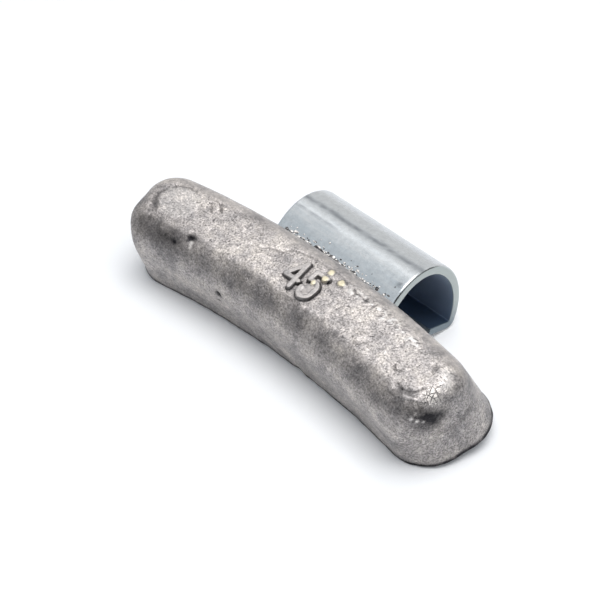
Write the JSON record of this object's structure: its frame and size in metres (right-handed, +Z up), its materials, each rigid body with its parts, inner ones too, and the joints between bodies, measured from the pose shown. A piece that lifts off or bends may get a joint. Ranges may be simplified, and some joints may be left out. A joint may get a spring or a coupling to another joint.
{
  "type": "wheel balance weight",
  "caption": "Clip-on wheel balance weight: a curved cast lead bar with round ends and a raised number, and a bent spring-steel clip cast into it that grips the rim lip.",
  "frame": {"origin": "bottom centre of the weight's box as it lies at rest, on the floor", "axes": "+X along the bar, the way the number reads; +Y towards the clip; +Z up"},
  "size_m": [0.0454, 0.0206, 0.0109],
  "materials": {
    "cast_lead": "as cast, dull oxidised lead",
    "zinc_plated_steel": "bright bluish zinc plate"
  },
  "bodies": {
    "root": {"lead_body": "cast_lead", "spring_clip": "zinc_plated_steel"}
  },
  "joints": []
}
